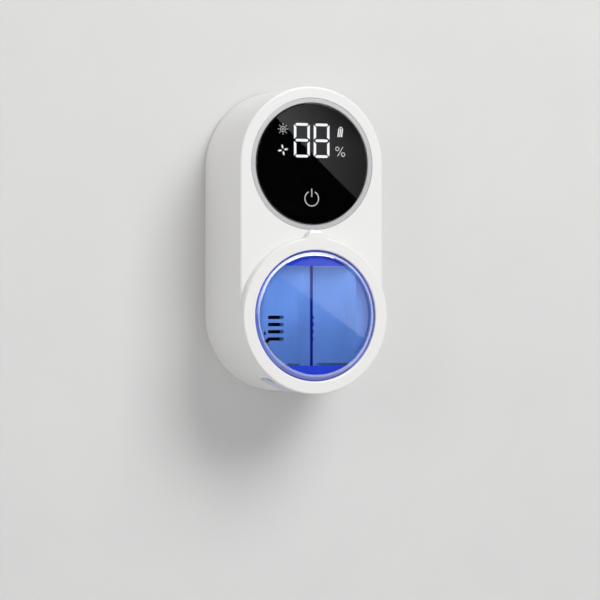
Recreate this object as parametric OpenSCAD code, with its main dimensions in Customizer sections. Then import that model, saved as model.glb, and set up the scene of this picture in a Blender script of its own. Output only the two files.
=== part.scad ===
// Wall-hung toothbrush sanitizer: a deep stadium-shaped case with a round touch display above
// and a round flip-up window below. Two brush heads hang in lit cells behind the window, with
// their necks in slots through the underside.
//
// Every shape is drawn lying on its back, with X to the right, Y up the wall and Z out from
// the wall. hang() then stands it up, so that +Z is up and the front faces -Y. The origin is
// the centre of the face that sticks to the wall.

/* [Case] */
// Width of the case, and diameter of its round ends
case_w = 72; // [66:0.5:79]
// Distance between the centres of the round ends
case_span = 70.5; // [65:0.5:80]
// Depth of the case from its rear rim to its front face
case_depth = 44.2; // [40:0.2:56]
// Thickness of the side wall
case_wall = 2; // [1.6:0.1:2.2]
// Thickness of the front wall
front_wall = 2.4; // [2.2:0.1:3]
// Radius of the edge around the front face
case_edge_r = 1; // [0.5:0.1:1.5]
// Gap between the rear rim and the wall
wall_gap = 0.8; // [0.5:0.1:1]

/* [Rear cover] */
// Thickness of the rear cover
cover_t = 2; // [1.6:0.1:2.4]
// Distance of each cover screw from the inside of the side wall
cover_screw_inset = 4.6; // [4.2:0.1:5]
// Distance of each cover screw from the middle of the case, up or down
cover_screw_y = 30; // [26:0.5:34]
// Radius of the case bosses that take the cover screws
boss_r = 2.8; // [2.4:0.1:3]
// Length of the case bosses
boss_len = 18; // [14:1:24]

/* [Wall plate] */
// Width of the wall plate
plate_w = 40; // [34:1:44]
// Height of the wall plate
plate_h = 50; // [44:1:54]
// Thickness of the wall plate, and reach of its bevelled top edge
plate_t = 3.6; // [3:0.1:3.8]
// Thickness of the adhesive pad
pad_t = 1; // [0.9:0.1:1.2]
// Distance of the pad's edge inside the plate's edge
pad_inset = 1; // [0.5:0.5:3]

/* [Display] */
// Least width of the case front around the silver ring
face_border = 5.3; // [4.5:0.1:7]
// Least distance between the silver ring and the round of the door, where the hinge is
hinge_room = 3.6; // [3.4:0.1:6]
// Thickness of the display glass
glass_t = 1.5; // [1.2:0.1:1.6]
// Height of the glass above the front face
glass_proud = 0.3; // [0.2:0.1:0.5]
// Width of the silver ring around the glass
trim_w = 2.4; // [1.8:0.1:2.8]
// Width of the ledge that the glass is taped to
ledge_w = 1.75; // [1.4:0.05:2]
// Thickness of the tape behind the glass
tape_t = 0.2; // [0.1:0.05:0.3]
// Thickness of the light box's window plate
mask_t = 2; // [1.5:0.1:2.5]
// Radius of the light box that the digits and symbols below are laid out for
layout_r = 25.95; // [25:0.05:28]
// Height of a digit
digit_h = 15.9; // [13:0.1:17]
// Width of a digit
digit_w = 8; // [7:0.1:8.6]
// Stroke of a digit
stroke = 1.2; // [1:0.1:1.5]
// Distance between the middles of the two digits
digit_pitch = 10; // [9.2:0.1:10.4]
// Height of the digits' middle above the middle of the glass
digit_y = 10.9; // [9:0.1:12]
// Radius of the power symbol
power_r = 3.7; // [3:0.05:4.2]

/* [Door] */
// Distance that the door stands out beyond the case's round end
door_over = 0.2; // [0:0.1:0.6]
// Thickness of the door ring
door_t = 4.2; // [4:0.1:4.8]
// Gap between the door and the front face
door_gap = 0.3; // [0.25:0.05:0.6]
// Width of the door ring's front
door_rim = 5.8; // [5.6:0.1:6.4]
// Radius of the door ring's front edges
door_edge_r = 0.6; // [0.3:0.1:0.9]
// Thickness of the window
window_t = 2; // [1.4:0.1:2.4]
// Radius of the window's rolled edge
window_roll = 4.8; // [3.4:0.1:5]
// Height of the window above the door ring
window_proud = 0.4; // [0:0.1:0.8]
// Thickness of the window's flange
flange_t = 0.8; // [0.6:0.1:0.9]
// Thickness of the frame that clamps the window
clamp_t = 1.2; // [1:0.1:1.3]
// Radius of the tab on top of the door, seen from the front
tab_r = 4.1; // [3.8:0.1:4.8]
// Radius of the curves between the tab and the door ring
tab_fillet_r = 2; // [1.5:0.1:3]
// Radius of the magnets
magnet_r = 1.5; // [1.2:0.1:1.5]
// Thickness of the magnets
magnet_t = 1.8; // [1.5:0.1:2]
// Angle of each magnet from the bottom of the door, about its middle
magnet_angle = 60; // [55:1:80]

/* [Hinge] */
// Radius of the hinge pin
pin_r = 0.5; // [0.4:0.05:0.55]
// Running clearance around the hinge pin
pin_clear = 0.05; // [0.03:0.01:0.08]
// Wall of the hinge eye around its pin
eye_wall = 0.7; // [0.6:0.05:0.75]
// Width of the hinge eye
eye_w = 2; // [1.6:0.1:2.4]
// Thickness of the bracket's leaf
leaf_t = 1; // [0.8:0.1:1.2]
// Width of the bracket's leaf
leaf_w = 13; // [12:0.5:16]
// Height of the bracket's leaf
leaf_h = 7; // [6.5:0.1:7.5]

/* [Brush chamber] */
// Width of the lip that the case front forms around its round opening
opening_lip = 3; // [2.7:0.1:3.6]
// Distance between each cell and the inside of the side wall
cell_side_room = 11; // [10.8:0.1:13]
// Gap between the fan and the recess of the wall plate
fan_gap = 3; // [1.5:0.1:4]
// Thickness of the liner's walls
liner_wall = 1.6; // [1.2:0.1:1.8]
// Thickness of the liner's floor
floor_t = 2; // [1.6:0.1:2.6]
// Thickness of the liner's back
liner_back = 2.6; // [2.2:0.1:3]
// Thickness of the liner's front flange
liner_flange_t = 1.2; // [1:0.1:1.5]
// Thickness of the plate between the cells
divider_t = 1.2; // [0.8:0.1:1.6]
// Distance between each neck slot and the inner side of its cell
slot_inset = 3.9; // [3.5:0.1:5]
// Distance between each neck slot and the outer side of its cell
slot_outset = 1.5; // [1.2:0.1:3]
// Depth of the neck slots behind the front face
slot_depth = 14.5; // [13.5:0.1:16]
// Radius of the neck slots' rear corners
slot_corner_r = 5; // [3:0.5:6]
// Thickness of the walls around the neck slots
duct_wall = 1.2; // [1:0.1:1.4]
// Distance between the gap that a grip leaves for a brush neck and each side of its slot
neck_inset = 3; // [2.4:0.1:4]
// Thickness of the grips
grip_t = 0.9; // [0.7:0.1:1.1]

/* [Lamps] */
// Radius of the lamp windows
lens_r = 3; // [2.6:0.1:3.4]
// Thickness of the lamp windows
lens_t = 1; // [0.8:0.1:1.1]
// Width of the lamp board
lamp_board_w = 42; // [40:1:46]
// Depth of the lamp board
lamp_board_h = 10; // [8:0.5:12]
// Side of a lamp package
lamp_side = 3.5; // [3:0.1:4]
// Height of a lamp package
lamp_h = 1.2; // [1:0.1:1.3]

/* [Fan] */
// How far the middle of the fan is below the middle of the window
fan_drop = 6; // [4:0.5:7]
// Side of the fan frame
fan_side = 30; // [28:0.5:31]
// Depth of the fan frame
fan_t = 7; // [6.4:0.1:7.4]
// Distance between the fan's screws
fan_pitch = 24; // [22.5:0.1:24.5]
// Radius of the fan's hub
hub_r = 6; // [5:0.1:7]
// Radius of the fan's spindle
spindle_r = 0.75; // [0.6:0.05:1]
// Number of blades
blade_count = 7; // [5:1:9]
// Angle of the blades
blade_angle = 40; // [30:1:50]

/* [Electronics] */
// Thickness of the circuit boards
board_t = 1.6; // [1.2:0.1:1.8]
// Width of the main board outside the middles of its posts
board_rim = 1.95; // [1.9:0.05:2.6]
// Distance of the main board's front behind the case front
board_depth = 9.4; // [9:0.1:11]
// Radius of the main board's posts
post_r = 2.1; // [1.9:0.05:2.2]
// Radius of the buzzer
buzzer_r = 4.5; // [3:0.5:6]
// Height of the buzzer
buzzer_h = 4; // [2.5:0.5:6]
// Width of the battery
battery_w = 38; // [30:1:40]
// Distance between the battery's upper corners and the top of the case
battery_top_room = 1.65; // [1.4:0.05:4]
// Thickness of the battery
battery_t = 8; // [5:0.5:12]
// Thickness of the foam behind the battery
foam_t = 0.8; // [0.5:0.1:1.5]
// Width of the charging socket
usb_w = 9; // [8.8:0.1:9.2]
// Height of the charging socket
usb_h = 3.3; // [3.1:0.1:3.4]
// Length of the charging socket
usb_len = 8.4; // [7.3:0.1:9.4]
// Height of the charging socket above the middle of the case
usb_y = 8; // [4:0.5:9]
// Height of the charging board above the rear cover
charge_rise = 13.2; // [12:0.1:14]

/* [Fits] */
// Gap between parts that are set into each other
fit = 0.1; // [0.05:0.01:0.15]
// Gap around parts that lift or swing past each other
swing_fit = 0.2; // [0.15:0.01:0.3]
// Gap around the wall plate in its recess
plate_fit = 0.4; // [0.3:0.05:0.5]

/* [Hidden] */
$fn = 96;

// Length of a cut that has to run out past a face
past = 1;

// Thickness of the walls of the wall plate's recess
recess_wall = 1.4;

// Case, as heights y and distances z from the wall
case_r = case_w / 2;
end_y = case_span / 2;
face_z = wall_gap + case_depth;
inner_r = case_r - case_wall;
front_in_z = face_z - front_wall;
cover_in_z = wall_gap + cover_t;
cover_screw_x = inner_r - cover_screw_inset;

// Screws, each as head radius, head height, shank radius and length below the head
cover_screw = [2.1, 1, 1.05, 10];
charge_screw = [1.5, 0.9, 0.7, 5.2];
fan_screw = [1.9, 1, 0.85, 8.7];
liner_screw = [1.6, 0.9, 0.75, 2.5];
lamp_screw = [1.5, 0.9, 0.7, 3];
board_screw = [1.7, 1, 0.7, 5.6];
leaf_screw = [1.4, 0.8, 0.7, 4.2];
// Room beyond a screw's tip, around its thread, and around its shank where it passes through
tip_room = 0.9;
thread_room = 0.05;
shank_room = 0.15;

// Display, centred on the upper round end; the door leaves the silver ring its room
door_r = case_r + door_over;
trim_r = min(case_r - face_border, case_span - door_r - hinge_room);
trim_in_r = trim_r - trim_w;
glass_r = trim_in_r - fit;
ledge_z = face_z + glass_proud - glass_t - tape_t;
display_hole_r = glass_r - ledge_w;
mask_r = display_hole_r - 5 * fit;
mask_z = face_z + glass_proud - glass_t - fit;
layout = mask_r / layout_r;
icon_gap = 5.5;
key_r = power_r * layout;
key_y = key_r * 3.27 - glass_r;
board_front_z = face_z - board_depth;
post_ring_r = display_hole_r + post_r + 5 * fit;
board_r = post_ring_r + board_rim;
buzzer_ring_r = board_r * 0.55;
buzzer_turn = 140;

// Door, centred on the lower round end
door_back_z = face_z + door_gap;
door_front_z = door_back_z + door_t;
window_r = door_r - door_rim;
window_seat_r = window_r + 1.2;
window_z = door_front_z + window_proud;
flange_z = door_back_z + clamp_t;
magnet_ring_r = (window_seat_r + case_r - case_edge_r) / 2;

// Hinge, just under the silver ring
eye_r = pin_r + pin_clear + eye_wall;
strip_t = 1.4;
barrel_r = door_t / 2;
hinge_y = end_y - trim_r - fit - 2 * swing_fit - eye_r;
hinge_z = door_back_z + barrel_r;
tab_y = hinge_y + barrel_r - tab_r;
tab_root_y = min(tab_y, door_r - end_y + 0.1);
pin_len = 1.5 * tab_r;
leaf_gap = 2;
leaf_z = front_in_z - leaf_gap - leaf_t;
leaf_screw_x = leaf_w / 2 - 2.3;
leaf_screw_y = hinge_y - 3.4;

// Chamber; the floor lies as low as the neck slots fit in the round end
opening_r = inner_r - opening_lip;
liner_r = inner_r - 2 * fit;
cell_w = inner_r - cell_side_room - divider_t / 2;
slot_w = cell_w - slot_inset - slot_outset;
slot_x = divider_t / 2 + slot_inset + slot_w / 2;
neck_w = slot_w - 2 * neck_inset;
slot_rim_x = slot_x + slot_w / 2 + duct_wall;
cell_h = 2 * (sqrt(liner_r * liner_r - slot_rim_x * slot_rim_x) + fit / 2 - floor_t);
web_y = cell_h / 2;
cell_x = divider_t / 2 + cell_w / 2;
cell_top_y = -end_y + cell_h / 2;
cell_floor_y = -end_y - cell_h / 2;
fan_z = pad_t + plate_t + plate_fit + recess_wall + fan_gap;
liner_back_z = fan_z + fan_t;
cell_back_z = liner_back_z + liner_back;
liner_top_y = cell_top_y + liner_wall;
liner_floor_y = cell_floor_y - floor_t;
liner_flange_z = front_in_z - liner_flange_t;
liner_flange_y = hinge_y - leaf_h - 1.2;
liner_screw_y = liner_flange_y - 3.6;
divider_back_z = cell_back_z + cell_w / 4;
divider_front_z = face_z - 1.7;
groove = 0.8;
slot_back_z = face_z - slot_depth;
grip_lip = 0.8;
grip_r = neck_w / 2 + grip_t;
grip_back_z = slot_back_z + 1.1;
grip_front_z = front_in_z - swing_fit;
vent_count = 4;
vent_w = 7;
vent_h = 1.6;
vent_pitch = 3.4;
intake_count = 5;
intake_w = 1.6;
intake_pitch = 3.2;
intake_len = 14;
intake_z = cover_in_z + 8;

// Door sensor, as width, height and thickness
sensor = [4, 6.5, 1.6];

// Lamps, above the cells
lamp_z = cell_back_z + cell_w / 2;
lamp_board_y = liner_top_y + lamp_h + 0.4;
lamp_board_t = 1.2;
lamp_post_x = lamp_board_w / 2 - 2.6;
lamp_post_r = 1.8;

// Fan, behind the cells
fan_y = -end_y - fan_drop;
fan_bore_r = fan_side / 2 - 1.4;
fan_plate_t = 1.2;
rotor_z = fan_z + fan_plate_t + 0.4;
rotor_t = fan_t - fan_plate_t - 1;
rotor_cap = 0.8;

// Wall plate and its recess in the rear cover
recess_z = pad_t + plate_t + plate_fit;
recess_low_y = -plate_h / 2 - plate_t - 2 * plate_fit;
recess_high_y = plate_h / 2 + plate_fit;
hook_gap = 0.14;

// Battery and charging socket
battery_low_y = recess_high_y + recess_wall + 3;
battery_high_y = end_y + sqrt(inner_r * inner_r - battery_w * battery_w / 4) - battery_top_room;
battery_h = battery_high_y - battery_low_y;
battery_y = (battery_high_y + battery_low_y) / 2;
foam_inset = 3;
charge_z = cover_in_z + charge_rise;
charge_t = 1.2;
charge_w = 16;
charge_h = 19;
charge_x = inner_r - 1 - charge_w / 2;
charge_post_r = 1.7;
charge_screw_x = charge_x + charge_w / 2 - 2.4;
charge_screw_pitch = charge_h - 4.4;
usb_z = charge_z + charge_t + usb_h / 2;
usb_x = case_r - 0.4 - usb_len;

// Colours
white = [0.93, 0.93, 0.94];
pale = [0.86, 0.88, 0.92];
steel = [0.7, 0.7, 0.72];
black = [0.07, 0.07, 0.08];
green = [0.1, 0.35, 0.2];
blue = [0.25, 0.4, 0.95];

// ---- helpers --------------------------------------------------------------------------

// Stands a shape up that was drawn lying on its back
module hang() {
    rotate([90, 0, 0]) children();
}

// Extrudes an outline drawn as (across, out) up the wall, from height y over length h
module rise(y, h) {
    translate([0, y + h, 0]) rotate([90, 0, 0]) linear_extrude(h) children();
}

// Extrudes an outline drawn as (up, out) across, centred on the middle of the case
module across(w) {
    translate([-w / 2, 0, 0]) rotate([90, 0, 90]) linear_extrude(w) children();
}

// A straight cylinder along X, centred on x = 0
module rod(r, len, y, z) {
    translate([-len / 2, y, z]) rotate([0, 90, 0]) cylinder(h = len, r = r);
}

// A cylinder that points out from the wall
module disc(r, z, h, x = 0, y = 0) {
    translate([x, y, z]) cylinder(h = h, r = r);
}

// A box given by its middle across, its middle up, its rear face and its size
module block(size, z, x = 0, y = 0) {
    translate([x - size[0] / 2, y - size[1] / 2, z]) cube(size);
}

// The flat outline of the case at a given radius
module stadium(r) {
    translate([0, end_y]) circle(r);
    translate([0, -end_y]) circle(r);
    translate([-r, -end_y]) square([2 * r, 2 * end_y]);
}

// Both sides of the case, for pieces that come in pairs
module both_sides() {
    for (side = [0, 1]) mirror([side, 0, 0]) children();
}

// A screw that points along +Z, with a cross in its head; the underside of its head is at z = 0
module screw(size) {
    head_r = size[0];
    head_t = size[1];
    slot = head_r / 4;
    translate([0, 0, -head_t]) difference() {
        union() {
            cylinder(h = head_t, r = head_r);
            cylinder(h = head_t + size[3], r = size[2]);
        }
        for (turn = [0, 90]) rotate(turn)
            translate([-head_r * 0.6, -slot / 2, -past]) cube([head_r * 1.2, slot, past + head_t / 2]);
    }
}

// ---- wall plate -----------------------------------------------------------------------

module adhesive_pad() {
    color([0.35, 0.36, 0.38]) hang()
        block([plate_w - 2 * pad_inset, plate_h - plate_t - 2 * pad_inset, pad_t], 0, 0, -plate_t / 2);
}

// The top edge slopes down towards the wall and hooks the case
module wall_plate() {
    low = -plate_h / 2;
    high = plate_h / 2;
    color(white) hang() across(plate_w)
        polygon([[low, pad_t], [high - plate_t, pad_t], [high, pad_t + plate_t],
                 [low, pad_t + plate_t]]);
}

// ---- rear cover -----------------------------------------------------------------------

module cover_screw_places() {
    for (x = [-cover_screw_x, cover_screw_x], y = [-cover_screw_y, cover_screw_y])
        translate([x, y, 0]) children();
}

module charge_screw_places() {
    for (side = [-1, 1])
        translate([charge_screw_x, usb_y + side * charge_screw_pitch / 2, 0]) children();
}

// The recess around the wall plate; its top face is parallel to the plate's sloping edge
module plate_recess() {
    slope_y = plate_h / 2 - plate_t + hook_gap;
    run = recess_z - pad_t;
    across(plate_w + 2 * plate_fit)
        polygon([[recess_low_y, pad_t - past], [slope_y - past, pad_t - past],
                 [slope_y + run, recess_z], [recess_low_y, recess_z]]);
}

module rear_cover() {
    recess_h = recess_high_y - recess_low_y + 2 * recess_wall;
    recess_y = (recess_high_y + recess_low_y) / 2;
    rib = 1.2;
    rib_h = foam_t + battery_t * 0.6;
    color(white) hang() difference() {
        union() {
            translate([0, 0, wall_gap]) linear_extrude(cover_t) stadium(inner_r - fit);
            block([plate_w + 2 * plate_fit + 2 * recess_wall, recess_h, recess_z + recess_wall - wall_gap],
                  wall_gap, 0, recess_y);
            charge_screw_places() disc(charge_post_r, wall_gap, charge_z - wall_gap);
            for (side = [-1, 1])
                block([rib, battery_h * 0.6, cover_t + rib_h], wall_gap,
                      side * (battery_w / 2 + fit + rib / 2), battery_y);
            block([battery_w * 0.6, rib, cover_t + rib_h], wall_gap, 0,
                  battery_y - battery_h / 2 - fit - rib / 2);
        }
        plate_recess();
        cover_screw_places() {
            disc(cover_screw[2] + shank_room, wall_gap - past, cover_t + 2 * past);
            disc(cover_screw[0] + 2 * fit, wall_gap - past, past + cover_screw[1]);
        }
        charge_screw_places() disc(charge_screw[2] + thread_room,
                                   charge_z + charge_t - charge_screw[3] - tip_room,
                                   charge_screw[3] + tip_room);
    }
}

module rear_cover_screws() {
    color(steel) hang() cover_screw_places() translate([0, 0, wall_gap + cover_screw[1]])
        screw(cover_screw);
}

// ---- case -----------------------------------------------------------------------------

// One half of the case's section, with the rounded front edge
module case_profile(side = 1) {
    mirror([side < 0 ? 1 : 0, 0]) {
        translate([0, wall_gap]) square([case_r, case_depth - case_edge_r]);
        translate([0, wall_gap]) square([case_r - case_edge_r, case_depth]);
        translate([case_r - case_edge_r, face_z - case_edge_r]) circle(case_edge_r);
    }
}

module case_block() {
    for (y = [-end_y, end_y]) translate([0, y, 0]) rotate_extrude() case_profile();
    rise(-end_y, 2 * end_y) {
        case_profile(1);
        case_profile(-1);
    }
}

// The outline of a neck slot, as (across, out), with round rear corners
module slot_outline(grow, front_z) {
    half = slot_w / 2 + grow;
    back = slot_back_z - grow;
    corner = slot_corner_r + grow;
    translate([slot_x - half, back + corner]) square([2 * half, front_z - back - corner]);
    translate([slot_x - half + corner, back]) square([2 * (half - corner), corner * 2]);
    for (side = [-1, 1]) translate([slot_x + side * (half - corner), back + corner]) circle(corner);
}

module neck_slots() {
    both_sides() rise(-end_y - case_r - past, case_r + past - opening_r * 0.7)
        slot_outline(0, face_z + past);
}

module magnet_places(r = magnet_ring_r) {
    for (side = [-1, 1])
        translate([side * r * sin(magnet_angle), -end_y - r * cos(magnet_angle), 0]) children();
}

module post_places() {
    for (turn = [40, 140, 220, 320]) translate([0, end_y, 0]) rotate(turn)
        translate([post_ring_r, 0, 0]) rotate(-turn) children();
}

module leaf_screw_places() {
    for (side = [-1, 1]) translate([side * leaf_screw_x, leaf_screw_y, 0]) children();
}

module liner_screw_places() {
    for (side = [-1, 1]) translate([side * (inner_r - 4.6), liner_screw_y, 0]) children();
}

module front_housing() {
    boss_z = cover_in_z;
    color(white) hang() difference() {
        union() {
            difference() {
                case_block();
                translate([0, 0, -past]) linear_extrude(front_in_z + past) stadium(inner_r);
            }
            cover_screw_places() disc(boss_r, boss_z, boss_len);
            for (x = [-1, 1], y = [-cover_screw_y, cover_screw_y])
                block([inner_r - cover_screw_x + 0.5, 1.6, boss_len], boss_z,
                      x * (cover_screw_x + inner_r + 0.5) / 2, y);
            post_places() disc(post_r, board_front_z, front_in_z - board_front_z + 0.2);
            leaf_screw_places() disc(1.9, leaf_z + leaf_t, leaf_gap + 0.2);
        }
        translate([0, end_y, 0]) {
            disc(display_hole_r, front_in_z - past, front_wall + 2 * past);
            disc(trim_r + fit / 2, ledge_z, face_z - ledge_z + past);
        }
        disc(opening_r, front_in_z - past, front_wall + 2 * past, 0, -end_y);
        neck_slots();
        cover_screw_places() disc(cover_screw[2] + thread_room, boss_z - past, past + cover_screw[3] + 2);
        post_places() disc(board_screw[2] + thread_room, board_front_z - past,
                           past + board_screw[3] - board_t + tip_room);
        leaf_screw_places() disc(leaf_screw[2] + thread_room, leaf_z, leaf_screw[3] + 0.2);
        liner_screw_places() disc(liner_screw[2] + thread_room, front_in_z - past, past + 1.5);
        magnet_places() disc(magnet_r + fit / 2, face_z - magnet_t, magnet_t + past);
        block([eye_w + 2 * swing_fit, 2 * eye_r + swing_fit, front_wall + 2 * past],
              front_in_z - past, 0, hinge_y);
        charge_port();
        for (i = [0 : intake_count - 1])
            block([intake_w, 4 * case_wall, intake_len], intake_z,
                  (i - (intake_count - 1) / 2) * intake_pitch, -end_y - case_r + case_wall / 2);
    }
}

// The slot in the right wall for the charging socket
module charge_port() {
    r = usb_h / 2 + 2 * fit;
    half = usb_w / 2 + 2 * fit - r;
    translate([inner_r - past, usb_y, usb_z]) rotate([90, 0, 90]) linear_extrude(case_wall + 2 * past) {
        for (side = [-1, 1]) translate([side * half, 0]) circle(r);
        translate([-half, -r]) square([2 * half, 2 * r]);
    }
}

// ---- battery and charging -------------------------------------------------------------

module battery_foam() {
    color([0.2, 0.2, 0.22]) hang()
        block([battery_w - 2 * foam_inset, battery_h - 2 * foam_inset, foam_t], cover_in_z, 0,
              battery_y);
}

// A pouch cell with rounded long edges and a folded end
module battery() {
    r = battery_t / 2;
    z = cover_in_z + foam_t;
    color([0.75, 0.77, 0.8]) hang() {
        block([battery_w - 2 * r, battery_h - 2, battery_t], z, 0, battery_y - 1);
        for (side = [-1, 1])
            translate([side * (battery_w / 2 - r), battery_y + battery_h / 2 - 2, z + r])
                rotate([90, 0, 0]) cylinder(h = battery_h - 2, r = r);
        block([battery_w - 4 * r, 3, 1.6], z + r - 0.8, 0, battery_y + battery_h / 2 - 1.5);
    }
}

module charge_board() {
    color(green) hang() difference() {
        block([charge_w, charge_h, charge_t], charge_z, charge_x, usb_y);
        charge_screw_places() disc(charge_screw[2] + 2 * fit, charge_z - past, charge_t + 2 * past);
    }
}

module charge_board_screws() {
    color(steel) hang() charge_screw_places() translate([0, 0, charge_z + charge_t])
        mirror([0, 0, 1]) screw(charge_screw);
}

// A hollow receptacle with its tongue, open to the right
module usb_socket() {
    shell = 0.35;
    r = usb_h / 2;
    half = usb_w / 2 - r;
    color(steel) hang() translate([usb_x, usb_y, usb_z]) rotate([90, 0, 90]) {
        linear_extrude(usb_len) difference() {
            capsule(half, r);
            capsule(half, r - shell);
        }
        linear_extrude(1.2) capsule(half, r - shell);
        translate([-half, -0.35, 0]) cube([2 * half, 0.7, usb_len - 1]);
    }
}

module capsule(half, r) {
    for (side = [-1, 1]) translate([side * half, 0]) circle(r);
    translate([-half, -r]) square([2 * half, 2 * r]);
}

// ---- fan ------------------------------------------------------------------------------

module fan_screw_places() {
    for (x = [-1, 1], y = [-1, 1])
        translate([x * fan_pitch / 2, fan_y + y * fan_pitch / 2, 0]) children();
}

module fan_frame() {
    color(black) hang() {
        difference() {
            block([fan_side, fan_side, fan_t], fan_z, 0, fan_y);
            disc(fan_bore_r, fan_z - past, fan_t + 2 * past, 0, fan_y);
            fan_screw_places() disc(fan_screw[2] + 2 * shank_room, fan_z - past, fan_t + 2 * past);
        }
        disc(hub_r + 0.5, fan_z, fan_plate_t, 0, fan_y);
        intersection() {
            for (turn = [0, 120, 240]) translate([0, fan_y, fan_z]) rotate(turn + 30)
                translate([0, -1, 0]) cube([fan_side / 2, 2, fan_plate_t]);
            disc(fan_bore_r + 0.2, fan_z, fan_plate_t, 0, fan_y);
        }
        disc(spindle_r, fan_z + fan_plate_t / 2, rotor_t - rotor_cap + 0.5, 0, fan_y);
    }
}

module fan_rotor() {
    blade_r = fan_bore_r - 0.6;
    blade_t = 0.9;
    color([0.16, 0.16, 0.18]) hang() translate([0, fan_y, rotor_z]) difference() {
        union() {
            cylinder(h = rotor_t, r = hub_r);
            intersection() {
                for (i = [0 : blade_count - 1]) rotate(i * 360 / blade_count)
                    translate([0, 0, rotor_t / 2]) rotate([blade_angle, 0, 0])
                        translate([hub_r - 1, -fan_t, -blade_t / 2])
                            cube([blade_r, 2 * fan_t, blade_t]);
                difference() {
                    cylinder(h = rotor_t, r = blade_r);
                    translate([0, 0, -past]) cylinder(h = rotor_t + 2 * past, r = hub_r - 0.3);
                }
            }
        }
        translate([0, 0, -past]) cylinder(h = rotor_t - rotor_cap + past, r = spindle_r + pin_clear);
    }
}

module fan_screws() {
    color(steel) hang() fan_screw_places() translate([0, 0, fan_z]) screw(fan_screw);
}

// ---- brush chamber --------------------------------------------------------------------

// The outline of one cell, as (across, out): straight sides and a half-round back
module cell_outline() {
    r = cell_w / 2;
    translate([cell_x, cell_back_z + r]) circle(r);
    translate([cell_x - r, cell_back_z + r]) square([cell_w, front_in_z + past - cell_back_z - r]);
}

// Both cells; their lower outer corners follow the case's round end
module cells() {
    corner_r = liner_r - liner_wall;
    intersection() {
        both_sides() rise(cell_floor_y, cell_h) cell_outline();
        union() {
            disc(corner_r, 0, face_z, 0, -end_y);
            block([2 * corner_r, cell_h, face_z], 0, 0, -end_y + cell_h / 2);
        }
    }
}

// The outline of one grip, as (across, out): a round back and straight sides, cut off at front_z
module grip_outline(r, front_z) {
    middle_z = grip_back_z + grip_r;
    difference() {
        union() {
            translate([slot_x, middle_z]) circle(r);
            translate([slot_x - r, middle_z]) square([2 * r, front_z - middle_z]);
        }
        translate([slot_x - r - past, front_z]) square([2 * (r + past), r + past]);
    }
}

// The plate that the liner is screwed on by: the lower round end, cut off under the hinge
module liner_flange() {
    top = liner_flange_y + end_y;
    difference() {
        union() {
            disc(liner_r, liner_flange_z, liner_flange_t, 0, -end_y);
            block([2 * liner_r, top, liner_flange_t], liner_flange_z, 0, -end_y + top / 2);
        }
        block([2 * liner_r, 2 * liner_r, liner_flange_t + 2 * past], liner_flange_z - past, 0,
              liner_flange_y + liner_r);
    }
}

module chamber_liner() {
    side_x = cell_x + cell_w / 2 + liner_wall;
    color(pale) hang() difference() {
        intersection() {
            union() {
                block([2 * side_x, liner_top_y - liner_floor_y, front_in_z - liner_back_z],
                      liner_back_z, 0, (liner_top_y + liner_floor_y) / 2);
                liner_flange();
                both_sides() rise(-end_y - liner_r, liner_r) slot_outline(duct_wall, front_in_z);
                for (side = [-1, 1]) translate([side * lamp_post_x, liner_top_y - 0.2, lamp_z])
                    rotate([-90, 0, 0]) cylinder(h = lamp_board_y - liner_top_y + 0.2, r = lamp_post_r);
            }
            union() {
                disc(liner_r, 0, face_z, 0, -end_y);
                block([2 * liner_r, case_span, face_z], 0, 0, -end_y + case_span / 2);
            }
        }
        cells();
        both_sides() rise(-end_y - case_r, case_r - (-end_y - liner_floor_y))
            slot_outline(0, front_in_z + past);
        both_sides() rise(-end_y - case_r, case_r - (-end_y - cell_floor_y)) {
            translate([slot_x - slot_w / 2, liner_flange_z]) square([slot_w, liner_flange_t + past]);
        }
        both_sides() rise(liner_floor_y - past, floor_t + 2 * past)
            grip_outline(grip_r + fit / 2, front_in_z + past);
        block([divider_t + fit, cell_h + 2 * groove, front_in_z - divider_back_z + past],
              divider_back_z, 0, -end_y);
        lamp_holes();
        fan_vents();
        fan_screw_places() disc(fan_screw[2] + thread_room, liner_back_z - past, past + liner_back - 0.6);
        liner_screw_places() disc(liner_screw[2] + 0.25, liner_flange_z - past, liner_flange_t + 2 * past);
    }
}

// Two stepped holes in the ceiling and two pilot holes in the lamp posts
module lamp_holes() {
    for (side = [-1, 1]) {
        translate([side * cell_x, liner_top_y - lens_t, lamp_z]) rotate([-90, 0, 0])
            cylinder(h = lens_t + past, r = lens_r + fit / 2);
        translate([side * cell_x, cell_top_y - past, lamp_z]) rotate([-90, 0, 0])
            cylinder(h = liner_wall + 2 * past, r = lens_r - 0.6);
        translate([side * lamp_post_x, lamp_board_y + lamp_board_t - lamp_screw[3] - 0.6, lamp_z])
            rotate([-90, 0, 0]) cylinder(h = lamp_screw[3] + past, r = lamp_screw[2] + thread_room);
    }
}

module fan_vents() {
    for (side = [-1, 1], i = [0 : vent_count - 1])
        block([vent_w, vent_h, liner_back + 4], liner_back_z - past,
              side * (cell_x - vent_w / 2), fan_y + (i - (vent_count - 1) / 2) * vent_pitch);
}

module liner_screws() {
    color(steel) hang() liner_screw_places() translate([0, 0, liner_flange_z]) screw(liner_screw);
}

module centre_divider() {
    color(pale) hang()
        block([divider_t, cell_h + 2 * groove - fit, divider_front_z - divider_back_z - fit],
              divider_back_z + fit, 0, -end_y);
}

// Soft U-shaped liners for the neck slots, with lips above and below the floor
module neck_grips() {
    color([0.55, 0.57, 0.6]) hang() both_sides() difference() {
        union() {
            rise(liner_floor_y - grip_lip, floor_t + 2 * grip_lip) grip_outline(grip_r, grip_front_z);
            rise(cell_floor_y, grip_lip) grip_outline(grip_r + grip_lip, grip_front_z);
            rise(liner_floor_y - grip_lip, grip_lip) grip_outline(grip_r + grip_lip, grip_front_z);
        }
        rise(liner_floor_y - grip_lip - past, floor_t + 2 * grip_lip + 2 * past)
            grip_outline(neck_w / 2, grip_front_z + past);
    }
}

// ---- lamps ----------------------------------------------------------------------------

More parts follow.
